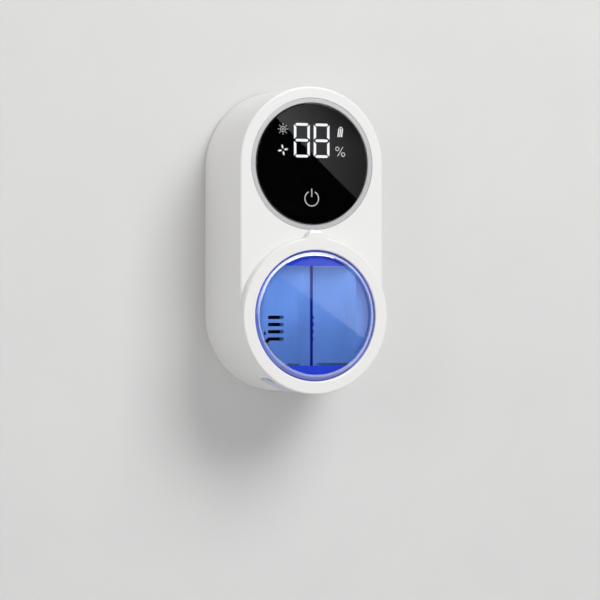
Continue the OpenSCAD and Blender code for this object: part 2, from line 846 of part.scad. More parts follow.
module lamp_windows() {
    color([0.85, 0.9, 1, 0.5]) hang() for (side = [-1, 1])
        translate([side * cell_x, liner_top_y - lens_t, lamp_z]) rotate([-90, 0, 0])
            cylinder(h = lens_t, r = lens_r);
}

module uv_lamps() {
    color([0.95, 0.9, 0.6]) hang() for (side = [-1, 1])
        translate([side * cell_x - lamp_side / 2, lamp_board_y - lamp_h, lamp_z - lamp_side / 2])
            cube([lamp_side, lamp_h, lamp_side]);
}

module lamp_board() {
    color(green) hang() difference() {
        translate([-lamp_board_w / 2, lamp_board_y, lamp_z - lamp_board_h / 2])
            cube([lamp_board_w, lamp_board_t, lamp_board_h]);
        for (side = [-1, 1]) translate([side * lamp_post_x, lamp_board_y - past, lamp_z])
            rotate([-90, 0, 0]) cylinder(h = lamp_board_t + 2 * past, r = lamp_screw[2] + 2 * fit);
    }
}

module lamp_board_screws() {
    color(steel) hang() for (side = [-1, 1])
        translate([side * lamp_post_x, lamp_board_y + lamp_board_t, lamp_z])
            rotate([90, 0, 0]) screw(lamp_screw);
}

// A magnetic switch behind the flange, beside one of the door's magnets
module door_sensor() {
    color(black) hang()
        block(sensor, liner_flange_z - sensor[2], -(liner_r - sensor[0]),
              -end_y - magnet_ring_r * cos(magnet_angle) + magnet_r + sensor[1]);
}

// ---- display --------------------------------------------------------------------------

module main_board() {
    color(green) hang() difference() {
        disc(board_r, board_front_z - board_t, board_t, 0, end_y);
        post_places() disc(board_screw[2] + 2 * fit, board_front_z - board_t - past, board_t + 2 * past);
    }
}

module main_board_screws() {
    color(steel) hang() post_places() translate([0, 0, board_front_z - board_t]) screw(board_screw);
}

module buzzer() {
    low_z = board_front_z - board_t - buzzer_h;
    color(black) hang() translate([0, end_y, 0]) rotate(buzzer_turn)
        translate([buzzer_ring_r, 0, 0]) difference() {
            disc(buzzer_r, low_z, buzzer_h);
            disc(buzzer_r / 5, low_z - past, past + buzzer_h / 4);
        }
}

// Points of a ring of the spring's wire, at turn angle a and height z
function coil_ring(mean_r, wire_r, a, z, sides) = [
    for (s = [0 : sides - 1])
        let (b = s * 360 / sides, r = mean_r + wire_r * cos(b))
        [r * cos(a), r * sin(a), z + wire_r * sin(b)]
];

// A round coil that rises by pitch in each turn, closed at both ends
module coil(mean_r, wire_r, pitch, turns) {
    sides = 8;
    steps = 16;
    rings = turns * steps;
    points = [
        for (i = [0 : rings])
            each coil_ring(mean_r, wire_r, i * 360 / steps, wire_r + i * pitch / steps, sides)
    ];
    walls = [
        for (i = [0 : rings - 1], s = [0 : sides - 1])
            let (t = (s + 1) % sides)
            [i * sides + s, (i + 1) * sides + s, (i + 1) * sides + t, i * sides + t]
    ];
    first = [for (s = [0 : sides - 1]) s];
    last = [for (s = [sides - 1 : -1 : 0]) rings * sides + s];
    polyhedron(points, concat([first], walls, [last]));
}

// The sensing spring of the power key, between the board and the light box
module touch_spring() {
    wire_r = 0.3;
    turns = 4;
    height = mask_z - mask_t - board_front_z - 2 * fit;
    color(steel) hang() translate([0, end_y + key_y, board_front_z + fit])
        coil(key_r, wire_r, (height - 2 * wire_r) / turns, turns);
}

// A bar with pointed ends, along X
module bar(len, t) {
    polygon([[-len / 2, 0], [-len / 2 + t / 2, t / 2], [len / 2 - t / 2, t / 2], [len / 2, 0],
             [len / 2 - t / 2, -t / 2], [-len / 2 + t / 2, -t / 2]]);
}

// A slanted upright on the right of a digit, above its middle
module upright(t, grow) {
    out = digit_w / 2 + grow;
    in = digit_w / 2 - t - grow;
    low = t * 0.4 - grow;
    high = digit_h / 2 - t * 0.6 + grow;
    polygon([[in, low + t * 0.8], [out, low], [out, high], [in, high - t * 0.85]]);
}

// The seven segments of a figure eight, each a little larger by grow
module digit(grow) {
    for (y = [-1, 0, 1]) translate([0, y * (digit_h - stroke) / 2])
        bar(digit_w - stroke * 1.15 + 2 * grow, stroke + 2 * grow);
    for (flip_x = [0, 1], flip_y = [0, 1]) mirror([flip_x, 0]) mirror([0, flip_y])
        upright(stroke, grow);
}

module digits(grow = 0) {
    scale(layout) for (side = [-1, 1]) translate([side * digit_pitch / 2, digit_y]) digit(grow);
}

module ring(out_r, in_r, grow) {
    difference() {
        circle(out_r + grow);
        circle(in_r - grow);
    }
}

module sun_icon(grow) {
    ring(1.35, 1, grow);
    circle(0.4 + grow);
    for (turn = [0 : 45 : 315]) rotate(turn)
        translate([1.75 - grow, -0.15 - grow]) square([0.85 + 2 * grow, 0.3 + 2 * grow]);
}

// Four leaf-shaped blades, each the overlap of two discs
module fan_icon(grow) {
    for (turn = [0 : 90 : 270]) rotate(turn) translate([1.55, 0.3]) rotate(12)
        intersection() {
            translate([0, 0.95]) circle(1.4 + grow);
            translate([0, -0.95]) circle(1.4 + grow);
        }
}

// Three bars that lean to the right, under a cap
module battery_icon(grow) {
    w = 0.3 + grow;
    h = 2 + grow;
    for (i = [-1, 0, 1]) translate([i * 0.92, -0.25])
        polygon([[-w - 0.25, -h], [w - 0.25, -h], [w + 0.25, h], [-w + 0.25, h]]);
    translate([-0.4 - grow, 2.05 - grow]) square([1.3 + 2 * grow, 0.4 + 2 * grow]);
}

module percent_icon(grow) {
    for (side = [-1, 1]) translate([side * 1.45, -side * 1.3]) ring(1.05, 0.65, grow);
    rotate(58) translate([-2.6 - grow, -0.19 - grow]) square([5.2 + 2 * grow, 0.38 + 2 * grow]);
}

module power_icon(grow) {
    t = 0.5;
    difference() {
        ring(power_r, power_r - t, grow);
        polygon([[0, 0], [-power_r * 0.62 + grow, power_r * 1.2], [power_r * 0.62 - grow, power_r * 1.2]]);
    }
    translate([-t / 2 - grow, power_r * 0.2 - grow]) square([t + 2 * grow, power_r * 1.05 + 2 * grow]);
}

// All symbols, placed about the middle of the glass
module icons(grow = 0) {
    left = -digit_pitch / 2 - digit_w / 2 - icon_gap;
    right = digit_pitch / 2 + digit_w / 2 + icon_gap;
    scale(layout) {
        translate([left, digit_y + 4.95]) sun_icon(grow);
        translate([left, digit_y - 4.7]) fan_icon(grow);
        translate([right, digit_y + 4.2]) battery_icon(grow);
        translate([right, digit_y - 4.9]) percent_icon(grow);
    }
    translate([0, key_y]) scale(layout) power_icon(grow);
}

// A black box with a window for each segment and symbol
module light_box() {
    wall = 1.2;
    plate_z = mask_z - mask_t;
    color(black) hang() translate([0, end_y, 0]) {
        difference() {
            disc(mask_r, plate_z, mask_t);
            translate([0, 0, plate_z - past]) linear_extrude(mask_t + 2 * past) {
                digits(0.04);
                icons(0.04);
            }
        }
        difference() {
            disc(mask_r, board_front_z, plate_z - board_front_z + 0.2);
            disc(mask_r - wall, board_front_z - past, plate_z - board_front_z + 2 * past);
        }
    }
}

module digit_segments() {
    color([1, 1, 1]) hang() translate([0, end_y, mask_z - mask_t]) linear_extrude(mask_t) digits();
}

module icon_inserts() {
    color([0.85, 0.85, 0.85]) hang() translate([0, end_y, mask_z - mask_t])
        linear_extrude(mask_t) icons();
}

module glass_tape() {
    color(black) hang() difference() {
        disc(glass_r - 0.3, ledge_z, tape_t, 0, end_y);
        disc(display_hole_r + 0.2, ledge_z - past, tape_t + 2 * past, 0, end_y);
    }
}

module display_glass() {
    edge = 0.4;
    z = ledge_z + tape_t;
    color([0.03, 0.03, 0.04]) hang() translate([0, end_y, 0]) rotate_extrude()
        polygon([[0, z], [glass_r, z], [glass_r, z + glass_t - edge], [glass_r - edge, z + glass_t],
                 [0, z + glass_t]]);
}

module trim_ring() {
    edge = 0.25;
    color([0.72, 0.72, 0.73]) hang() translate([0, end_y, 0]) rotate_extrude()
        polygon([[trim_in_r, ledge_z], [trim_r, ledge_z], [trim_r, face_z - edge],
                 [trim_r - edge, face_z], [trim_in_r + edge, face_z], [trim_in_r, face_z - edge]]);
}

module case_magnets() {
    color(steel) hang() magnet_places() disc(magnet_r, face_z - magnet_t, magnet_t);
}

// ---- hinge ----------------------------------------------------------------------------

// A leaf behind the front wall, with an eye that reaches out through it
module hinge_bracket() {
    color(steel) hang() difference() {
        union() {
            block([leaf_w, leaf_h, leaf_t], leaf_z, 0, hinge_y + eye_r - leaf_h / 2);
            block([eye_w, strip_t, hinge_z - leaf_z], leaf_z, 0, hinge_y);
            rod(eye_r, eye_w, hinge_y, hinge_z);
        }
        rod(pin_r + pin_clear, eye_w + 2 * past, hinge_y, hinge_z);
        leaf_screw_places() disc(leaf_screw[2] + shank_room, leaf_z - past, leaf_t + 2 * past);
    }
}

module bracket_screws() {
    color(steel) hang() leaf_screw_places() translate([0, 0, leaf_z]) screw(leaf_screw);
}

module hinge_pin() {
    color(steel) hang() rod(pin_r, pin_len, hinge_y, hinge_z);
}

// ---- door -----------------------------------------------------------------------------

// The tab's outline from the front: a round top that flares into the ring
module tab_outline() {
    door_y = -end_y;
    gap = tab_root_y - door_y;
    ring_arm = door_r + tab_fillet_r;
    tab_arm = tab_r + tab_fillet_r;
    rise_y = (ring_arm * ring_arm - tab_arm * tab_arm + gap * gap) / (2 * gap);
    side_x = sqrt(ring_arm * ring_arm - rise_y * rise_y);
    ring_part = door_r / ring_arm;
    tab_part = tab_r / tab_arm;
    touch_x = side_x * tab_part;
    touch_y = tab_root_y + (door_y + rise_y - tab_root_y) * tab_part;
    translate([0, tab_y]) circle(tab_r);
    translate([-tab_r, tab_root_y]) square([2 * tab_r, tab_y - tab_root_y + 0.001]);
    translate([0, tab_root_y]) circle(tab_r);
    difference() {
        polygon([[touch_x, touch_y], [side_x, door_y + rise_y],
                 [side_x * ring_part, door_y + rise_y * ring_part],
                 [side_x * ring_part, door_y + rise_y * ring_part - 1],
                 [-side_x * ring_part, door_y + rise_y * ring_part - 1],
                 [-side_x * ring_part, door_y + rise_y * ring_part],
                 [-side_x, door_y + rise_y], [-touch_x, touch_y], [0, tab_root_y]]);
        for (side = [-1, 1]) translate([side * side_x, door_y + rise_y]) circle(tab_fillet_r);
    }
}

// The ring's section: rounded front edges, and a rabbet for the window behind
module ring_profile() {
    e = door_edge_r;
    difference() {
        union() {
            translate([window_r, door_back_z]) square([door_rim, door_t - e]);
            translate([window_r + e, door_back_z]) square([door_rim - 2 * e, door_t]);
            translate([window_r + e, door_front_z - e]) circle(e);
            translate([door_r - e, door_front_z - e]) circle(e);
        }
        translate([0, door_back_z - past]) square([window_seat_r, past + clamp_t + flange_t]);
    }
}

// The ring with its hinge tab; the tab's top is round about the pin, and a slot in its back
// lets the eye swing from pointing back to pointing up
module door_ring() {
    tab_low = door_r - end_y - 3;
    slot_room = eye_w + 2 * swing_fit;
    color(white) hang() difference() {
        union() {
            translate([0, -end_y, 0]) rotate_extrude() ring_profile();
            intersection() {
                translate([0, 0, door_back_z]) linear_extrude(door_t) tab_outline();
                union() {
                    rod(barrel_r, 4 * tab_r, hinge_y, hinge_z);
                    block([4 * tab_r, hinge_y - tab_low, door_t], door_back_z, 0,
                          (hinge_y + tab_low) / 2);
                }
            }
        }
        rod(pin_r, 4 * tab_r, hinge_y, hinge_z);
        rod(eye_r + swing_fit, slot_room, hinge_y, hinge_z);
        translate([-slot_room / 2, hinge_y - strip_t / 2 - swing_fit, door_back_z - past])
            cube([slot_room, barrel_r + strip_t + past, barrel_r + strip_t / 2 + 2 * swing_fit + past]);
        disc(window_seat_r, door_back_z - past, past + clamp_t + flange_t, 0, -end_y);
        magnet_places() disc(magnet_r + fit / 2, door_back_z - past, magnet_t + past);
    }
}

// A dished pane with a rolled edge and a thin flange, flat in the middle
module door_window() {
    r = window_r - fit;
    flange_r = window_seat_r - fit;
    roll_z = window_z - window_roll;
    low = roll_z - window_roll;
    color([0.25, 0.4, 0.95, 0.5]) hang() translate([0, -end_y, 0]) rotate_extrude() difference() {
        union() {
            translate([0, flange_z]) square([flange_r, flange_t]);
            translate([0, low]) square([r, roll_z - low]);
            translate([0, low]) square([r - window_roll, window_z - low]);
            translate([r - window_roll, roll_z]) circle(window_roll);
        }
        translate([0, low - past]) square([r - window_t, roll_z - low + past]);
        translate([0, low - past]) square([r - window_roll, window_z - window_t - low + past]);
        translate([r - window_roll, roll_z]) circle(window_roll - window_t);
        translate([0, low - past]) square([flange_r + past, flange_z - low + past]);
    }
}

// A clamp ring behind the window, with a web above and below the cells
module window_clamp() {
    r = window_seat_r - fit;
    color([0.1, 0.15, 0.6]) hang() difference() {
        disc(r, door_back_z, clamp_t, 0, -end_y);
        intersection() {
            disc(window_r - 1, door_back_z - past, clamp_t + 2 * past, 0, -end_y);
            block([2 * r, 2 * web_y, clamp_t + 2 * past], door_back_z - past, 0, -end_y);
        }
    }
}

module door_magnets() {
    color(steel) hang() magnet_places() disc(magnet_r, door_back_z, magnet_t);
}

adhesive_pad();
wall_plate();
rear_cover();
rear_cover_screws();
front_housing();
battery_foam();
battery();
charge_board();
charge_board_screws();
usb_socket();
fan_frame();
fan_rotor();
fan_screws();
chamber_liner();
liner_screws();
centre_divider();
neck_grips();
lamp_windows();
uv_lamps();
lamp_board();
lamp_board_screws();
door_sensor();
main_board();
main_board_screws();
buzzer();
touch_spring();
light_box();
digit_segments();
icon_inserts();
glass_tape();
display_glass();
trim_ring();
case_magnets();
hinge_bracket();
bracket_screws();
hinge_pin();
door_ring();
door_window();
window_clamp();
door_magnets();
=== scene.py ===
import bmesh
import bpy
import numpy as np
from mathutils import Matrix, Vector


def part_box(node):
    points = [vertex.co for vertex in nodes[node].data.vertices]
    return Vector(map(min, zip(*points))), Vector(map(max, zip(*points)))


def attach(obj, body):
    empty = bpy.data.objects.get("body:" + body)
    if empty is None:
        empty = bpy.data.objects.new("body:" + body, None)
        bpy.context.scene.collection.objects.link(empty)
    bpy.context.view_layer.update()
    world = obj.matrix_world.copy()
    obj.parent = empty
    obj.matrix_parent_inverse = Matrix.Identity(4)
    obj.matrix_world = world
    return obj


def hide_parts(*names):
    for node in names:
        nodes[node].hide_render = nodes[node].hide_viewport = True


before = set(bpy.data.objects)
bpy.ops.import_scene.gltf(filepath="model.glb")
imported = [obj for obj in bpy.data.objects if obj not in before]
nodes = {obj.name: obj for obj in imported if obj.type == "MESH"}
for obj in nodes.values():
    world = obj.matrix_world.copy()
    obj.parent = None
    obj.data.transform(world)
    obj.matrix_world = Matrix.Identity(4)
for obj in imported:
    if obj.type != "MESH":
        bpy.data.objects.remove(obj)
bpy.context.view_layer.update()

# ---- Adhesive pad --------------------------------------------------------------------------
# A die-cut sheet of closed-cell acrylic foam tape. It is pressed on the wall first, and the
# wall plate sticks to it. The cells give the grey foam a fine, irregular pitting.


def linear(code):
    """An sRGB hex colour as linear RGBA. A channel c above 0.04045 becomes
    ((c + 0.055) / 1.055) to the power 2.4, and a lower one c / 12.92."""
    c = np.array([int(code[i : i + 2], 16) for i in (1, 3, 5)]) / 255
    return *np.where(c > 0.04045, ((c + 0.055) / 1.055) ** 2.4, c / 12.92).tolist(), 1.0


def add(tree, kind, values=None, links=None, **settings):
    """Adds one shader node: settings are its properties, values its unlinked inputs, and links
    the sockets that feed its other inputs. An input goes by its number where names repeat: in
    a Mix node 0 is the factor, 2 and 3 are the two numbers, and 6 and 7 the two colours."""
    node = tree.nodes.new("ShaderNode" + kind)
    for key, value in settings.items():
        setattr(node, key, value)
    for key, value in (values or {}).items():
        node.inputs[key].default_value = value
    for key, socket in (links or {}).items():
        tree.links.new(socket, node.inputs[key])
    return node


def surface(name, **sockets):
    """A new material with a Principled shader, and the Object coordinates that its pattern
    reads. Keys of sockets are input names with _ for a space."""
    made = bpy.data.materials.new(name)
    made.use_nodes = True
    tree = made.node_tree
    tree.nodes.clear()
    values = {key.replace("_", " "): value for key, value in sockets.items()}
    shader = add(tree, "BsdfPrincipled", values)
    add(tree, "OutputMaterial", links={"Surface": shader.outputs[0]})
    return made, tree, shader, add(tree, "TexCoord").outputs["Object"]


def grain(tree, shader, place, size_mm, depth_mm, colours, roughness, detail=3.0):
    """Joins a random grain to a shader: it mixes two colours, swings the roughness between two
    values, and dents the surface by depth_mm. Its largest features are size_mm apart. Most of
    the noise lies between 0.3 and 0.7, so the roughness takes its whole swing there."""
    noise = add(tree, "TexNoise", {"Scale": 1000 / size_mm, "Detail": detail, "Roughness": 0.6},
                {"Vector": place})
    mix = add(tree, "Mix", {6: linear(colours[0]), 7: linear(colours[1])},
              {0: noise.outputs[0]}, data_type="RGBA")
    rough = add(tree, "MapRange", {"From Min": 0.3, "From Max": 0.7, "To Min": roughness[0],
                                   "To Max": roughness[1]}, {"Value": noise.outputs[0]})
    bump = add(tree, "Bump", {"Strength": 1.0, "Distance": depth_mm / 1000},
               {"Height": noise.outputs[0]})
    tree.links.new(mix.outputs[2], shader.inputs["Base Color"])
    tree.links.new(rough.outputs[0], shader.inputs["Roughness"])
    tree.links.new(bump.outputs[0], shader.inputs["Normal"])


def coat(made, *names):
    """Gives a material to CAD nodes."""
    for name in names:
        for slot in nodes[name].material_slots:
            slot.material = made


foam, tree, shader, place = surface("acrylic_foam_tape", IOR=1.48)
grain(tree, shader, place, 0.5, 0.06, ("#4C4E52", "#6A6C70"), (0.85, 0.95), detail=5)
coat(foam, "adhesive_pad")

# ---- Wall plate and case -------------------------------------------------------------------
# The plate, the rear cover and the deep front housing are injection-moulded white ABS, with
# a satin skin and a faint orange peel from a mould that is polished and then lightly blasted.
# The plate hooks the cover, and four screws hold the cover in the housing.
white_abs, tree, shader, place = surface("satin_white_abs", IOR=1.54, Coat_Weight=0.15,
                                         Coat_Roughness=0.25)
grain(tree, shader, place, 0.9, 0.0016, ("#EBEBEA", "#EFEFEE"), (0.36, 0.46))
coat(white_abs, "wall_plate", "rear_cover", "front_housing")

# ---- Screws --------------------------------------------------------------------------------
# Pan-head screws for plastic, cold-headed from steel wire and zinc-plated: a bright grey
# metal with slightly cloudy patches.
zinc_steel, tree, shader, place = surface("zinc_plated_steel", Metallic=1.0)
grain(tree, shader, place, 0.6, 0.004, ("#A9ABAF", "#C3C4C7"), (0.25, 0.42))
coat(zinc_steel, "rear_cover_screws", "charge_board_screws", "fan_screws", "liner_screws",
     "lamp_board_screws", "main_board_screws", "bracket_screws")

# ---- Battery -------------------------------------------------------------------------------
# A lithium pouch cell on a foam pad in the upper half of the rear cover. The pouch is
# aluminium laminate, dull silver and softly wrinkled by the stack inside.
pouch, tree, shader, place = surface("aluminium_laminate_pouch", Metallic=0.85)
grain(tree, shader, place, 7, 0.25, ("#B4B8BE", "#C9CDD2"), (0.3, 0.5), detail=4)
coat(pouch, "battery")
coat(foam, "battery_foam")

# ---- Charging board and socket -------------------------------------------------------------
# A glass-epoxy board under green solder mask, which shows its copper tracks as slightly
# lighter lines. The socket's shell is drawn stainless steel, soldered to the board.
track_pitch_mm, track_mm = 1.3, 0.035
board, tree, shader, place = surface("green_solder_mask", IOR=1.55, Coat_Weight=0.6,
                                     Coat_Roughness=0.12)
facing = add(tree, "Mapping", {"Rotation": (np.pi / 2, 0, 0)}, {"Vector": place})
tracks = add(tree, "TexBrick",
             {"Color1": linear("#1D5334"), "Color2": linear("#1A4B30"),
              "Mortar": linear("#3A7D50"), "Scale": 1000 / track_pitch_mm, "Mortar Size": 0.14,
              "Mortar Smooth": 0.2, "Brick Width": 3.0, "Row Height": 1.0},
             {"Vector": facing.outputs[0]}, offset=0.37)
etched = add(tree, "Bump", {"Distance": track_mm / 1000}, {"Height": tracks.outputs["Fac"]})
tree.links.new(tracks.outputs["Color"], shader.inputs["Base Color"])
tree.links.new(etched.outputs[0], shader.inputs["Normal"])
shader.inputs["Roughness"].default_value = 0.35
coat(board, "charge_board", "lamp_board", "main_board")

# Drawing stretches the steel's grain, so it is 12 times as long along X as it is wide
stainless, tree, shader, place = surface("drawn_stainless_steel", Metallic=1.0)
stretched = add(tree, "Mapping", {"Scale": (1.0, 12.0, 12.0)}, {"Vector": place})
grain(tree, shader, stretched.outputs[0], 2.4, 0.003, ("#B6B6B8", "#C8C8CA"), (0.22, 0.34))
coat(stainless, "usb_socket", "hinge_bracket", "hinge_pin", "touch_spring")

# ---- Fan -----------------------------------------------------------------------------------
# A small axial fan that dries the cells, screwed to the back of the liner. Its frame and its
# rotor are glass-filled polyester, matt black with a faint mottle of fibres. The buzzer and
# the door sensor are black mouldings too.
black_pbt, tree, shader, place = surface("glass_filled_black_pbt", IOR=1.5)
grain(tree, shader, place, 0.35, 0.008, ("#121214", "#1E1E20"), (0.55, 0.7), detail=4)
coat(black_pbt, "fan_frame", "fan_rotor", "buzzer", "door_sensor")

# ---- Brush chamber -------------------------------------------------------------------------
# The liner is one moulding of pale polished ABS with two half-round cells, and a thin plate of
# it slides in between them. The plate's front edge is painted dark blue: painted shade for the
# unlit edge between the cells. Soft grey silicone liners hold the brush necks in the slots.
liner_abs, tree, shader, place = surface("polished_pale_abs", IOR=1.54)
grain(tree, shader, place, 3.0, 0.0006, ("#DFE4EF", "#E2E6F1"), (0.24, 0.28))
coat(liner_abs, "chamber_liner")

# Painted shade: the divider's front half millimetre is dark navy, for its unlit front edge
painted_shade_mm = 0.5
divider_abs, tree, shader, place = surface("polished_pale_abs_with_painted_shade", IOR=1.54)
grain(tree, shader, place, 3.0, 0.0006, ("#DFE4EF", "#E2E6F1"), (0.24, 0.28))
spot = add(tree, "SeparateXYZ", links={0: place})
edge = add(tree, "Math", {1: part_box("centre_divider")[0].y + painted_shade_mm / 1000},
           {0: spot.outputs["Y"]}, operation="LESS_THAN")
pale = shader.inputs["Base Color"].links[0].from_socket
painted_shade_mix = add(tree, "Mix", {7: linear("#141C8C")}, {0: edge.outputs[0], 6: pale},
               data_type="RGBA")
tree.links.new(painted_shade_mix.outputs[2], shader.inputs["Base Color"])
coat(divider_abs, "centre_divider")

silicone, tree, shader, place = surface("matt_grey_silicone", IOR=1.41, Sheen_Weight=0.25,
                                        Sheen_Roughness=0.6)
grain(tree, shader, place, 0.4, 0.01, ("#80848B", "#9398A0"), (0.55, 0.7))
coat(silicone, "neck_grips")

# ---- Lamps ---------------------------------------------------------------------------------
# Two ultraviolet diodes in white ceramic packages on their own board, above a polished
# quartz window in the ceiling of each cell. They glow violet-blue when they are on.
ceramic, tree, shader, place = surface("alumina_lamp_package", IOR=1.76,
                                       Emission_Color=linear("#8FA0FF"), Emission_Strength=1.5)
grain(tree, shader, place, 0.2, 0.002, ("#E9E6DC", "#F2F0E8"), (0.3, 0.4))
coat(ceramic, "uv_lamps")

quartz, tree, shader, place = surface("fused_quartz", IOR=1.458, Transmission_Weight=1.0)
grain(tree, shader, place, 2.0, 0.0004, ("#F4F6FF", "#FFFFFF"), (0.02, 0.04))
coat(quartz, "lamp_windows")

# Area lights stand in for the lamps' visible glow. There is one strip under each quartz window,
# one patch in each cell, and one disc in the window's rim for what the whole chamber scatters.
# Sizes and places are in metres and powers in watts. A package is as wide as it is deep.
low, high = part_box("uv_lamps")
lamp_x = high.x - (high.y - low.y) / 2
strip_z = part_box("lamp_windows")[0].z - 0.002
glow_y, patch_x, patch_z = -0.034, 0.0085, -0.031
low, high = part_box("door_window")
disc_y, disc_z = high.y - 0.0004, (low.z + high.z) / 2
strip, patch, disc = (0.015, 0.007), (0.004, 0.016), (0.0556, 0.0556)
strip_power, patch_power, disc_power = 0.0014, 0.0004, 0.0043
down, back = 0, np.pi / 2
for name, place_at, tilt, size, power in (
        ("strip_glow_left", (-lamp_x, glow_y, strip_z), down, strip, strip_power),
        ("strip_glow_right", (lamp_x, glow_y, strip_z), down, strip, strip_power),
        ("cell_glow_left", (-patch_x, glow_y, patch_z), back, patch, patch_power),
        ("cell_glow_right", (patch_x, glow_y, patch_z), back, patch, patch_power),
        ("chamber_glow", (0, disc_y, disc_z), back, disc, disc_power)):
    lamp = bpy.data.lights.new(name, "AREA")
    lamp.shape = "ELLIPSE"
    lamp.size, lamp.size_y = size
    lamp.energy = power
    lamp.color = linear("#CEE7FF")[:3]
    glow = bpy.data.objects.new(name, lamp)
    glow.location = place_at
    glow.rotation_euler = (tilt, 0, 0)
    glow.visible_camera = False
    glow.visible_glossy = False
    glow.visible_transmission = False
    bpy.context.scene.collection.objects.link(glow)
    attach(glow, "case")

# ---- Light box, digits and symbols ---------------------------------------------------------
# The light box is black polycarbonate, moulded with a dull face that hides it behind the
# glass. Frosted acrylic light guides, one for each segment and symbol, are pushed into it.
# White diodes behind them light the digits fully and the symbols a little less.
dull_black, tree, shader, place = surface("dull_black_polycarbonate", Specular_IOR_Level=0.05)
grain(tree, shader, place, 0.2, 0.002, ("#050506", "#070708"), (0.85, 0.95))
coat(dull_black, "light_box")

lit, tree, shader, place = surface("lit_frosted_acrylic", IOR=1.49,
                                   Emission_Color=linear("#FFFFFF"), Emission_Strength=1.05)
grain(tree, shader, place, 0.3, 0.004, ("#F0F1F4", "#FFFFFF"), (0.5, 0.6))
coat(lit, "digit_segments")

# The fan and battery symbols are bright, and the sun, the percent sign and the key are dimmer.
# The bright two are beside the digits, one low on the left and one high on the right: there x
# and the height over the digits' middle have the same sign.
symbols = lit.copy()
symbols.name = "dim_frosted_acrylic"
tree = symbols.node_tree
place = next(n for n in tree.nodes if n.type == "TEX_COORD").outputs["Object"]
low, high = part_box("digit_segments")
spot = add(tree, "SeparateXYZ", links={0: place})
height = add(tree, "Math", {1: (low.z + high.z) / 2}, {0: spot.outputs["Z"]},
             operation="SUBTRACT")
corner = add(tree, "Math", links={0: spot.outputs["X"], 1: height.outputs[0]},
             operation="MULTIPLY")
bright = add(tree, "Math", {1: 0.0}, {0: corner.outputs[0]}, operation="GREATER_THAN")
off_centre = add(tree, "Math", links={0: spot.outputs["X"]}, operation="ABSOLUTE")
beside = add(tree, "Math", {1: high.x}, {0: off_centre.outputs[0]}, operation="GREATER_THAN")
both = add(tree, "Math", links={0: bright.outputs[0], 1: beside.outputs[0]},
           operation="MULTIPLY")
level = add(tree, "MapRange", {"To Min": 0.4, "To Max": 0.85}, {"Value": both.outputs[0]})
tree.links.new(level.outputs[0], tree.nodes["Principled BSDF"].inputs["Emission Strength"])
coat(symbols, "icon_inserts")

# ---- Display glass -------------------------------------------------------------------------
# A disc of clear tempered glass with a ground edge, stuck to the ledge of the case with a
# ring of foam tape. A border of black ceramic ink, fired on its rear, hides the tape.
glass, tree, shader, place = surface("tempered_glass", IOR=1.52, Transmission_Weight=1.0)
grain(tree, shader, place, 14.0, 0.0001, ("#D8DADD", "#DCDEE1"), (0.0, 0.004), detail=0)
coat(glass, "display_glass")
coat(foam, "glass_tape")


def lathe(name, profile, centre_z, steps=256):
    """A closed surface of revolution about a line along Y through (0, 0, centre_z). profile is
    a closed loop of (radius, y) in millimetres, from the front's rim inwards and back out
    behind it, and the point at angle a is (radius cos a, y, centre_z + radius sin a). Points
    that fall together on the axis are merged. Edges over 35 degrees stay sharp."""
    loop = np.array(profile) / 1000
    angle = np.linspace(0, 2 * np.pi, steps, endpoint=False)[:, None]
    points = np.stack([loop[:, 0] * np.cos(angle),
                       np.broadcast_to(loop[:, 1], (steps, len(loop))),
                       centre_z + loop[:, 0] * np.sin(angle)], -1)
    i, j = np.meshgrid(np.arange(steps), np.arange(len(loop)), indexing="ij")
    i2, j2 = (i + 1) % steps, (j + 1) % len(loop)
    corners = ((i, j), (i2, j), (i2, j2), (i, j2))
    faces = np.stack([ring * len(loop) + point for ring, point in corners], -1)
    mesh = bpy.data.meshes.new(name)
    mesh.from_pydata(points.reshape(-1, 3), [], faces.reshape(-1, 4))
    shape = bmesh.new()
    shape.from_mesh(mesh)
    bmesh.ops.remove_doubles(shape, verts=shape.verts, dist=1e-6)
    shape.to_mesh(mesh)
    shape.free()
    mesh.shade_smooth()
    mesh.set_sharp_from_angle(angle=np.radians(35))
    made = bpy.data.objects.new(name, mesh)
    bpy.context.scene.collection.objects.link(made)
    return made


# The ink is drawn just inside the glass, because two faces in one place would flicker
low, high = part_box("display_glass")
display_z = (low.z + high.z) / 2
ink_mm, ink_width_mm, inset_mm = 0.02, 2.5, 0.1
outer_r, ink_rear = high.x * 1000 - inset_mm, high.y * 1000 - ink_mm
inner_r, ink_front = outer_r - ink_width_mm, ink_rear - ink_mm
ink, tree, shader, place = surface("black_ceramic_ink", Specular_IOR_Level=0.05)
grain(tree, shader, place, 0.25, 0.001, ("#050506", "#070708"), (0.85, 0.95))
border = lathe("glass_ink_border", [(outer_r, ink_front), (inner_r, ink_front),
                                    (inner_r, ink_rear), (outer_r, ink_rear)], display_z)
border.data.materials.append(ink)
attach(border, "case")

# ---- Silver ring ---------------------------------------------------------------------------
# A ring of aluminium, turned on a lathe and clear-anodised, set in the case round the glass.
# The tool leaves fine concentric lines. They are about 0.1 mm apart on the real ring, and
# drawn 0.8 mm apart here so that they show.
line_mm, cut_mm = 0.8, 0.004
waves_per_unit = 10 / np.pi  # of a ring wave at a scale of 1
turned, tree, shader, place = surface("turned_anodised_aluminium", Metallic=1.0,
                                      Roughness=0.38)
centred = add(tree, "Mapping", {"Location": (0, 0, -display_z)}, {"Vector": place})
lines = add(tree, "TexWave", {"Scale": 1000 / line_mm / waves_per_unit, "Detail": 0.0},
            {"Vector": centred.outputs[0]}, wave_type="RINGS", rings_direction="Y")
tone = add(tree, "Mix", {6: linear("#B4B4B6"), 7: linear("#C0C0C2")},
           {0: lines.outputs["Fac"]}, data_type="RGBA")
cut = add(tree, "Bump", {"Strength": 0.6, "Distance": cut_mm / 1000},
          {"Height": lines.outputs["Fac"]})
tree.links.new(tone.outputs[2], shader.inputs["Base Color"])
tree.links.new(cut.outputs[0], shader.inputs["Normal"])
coat(turned, "trim_ring")

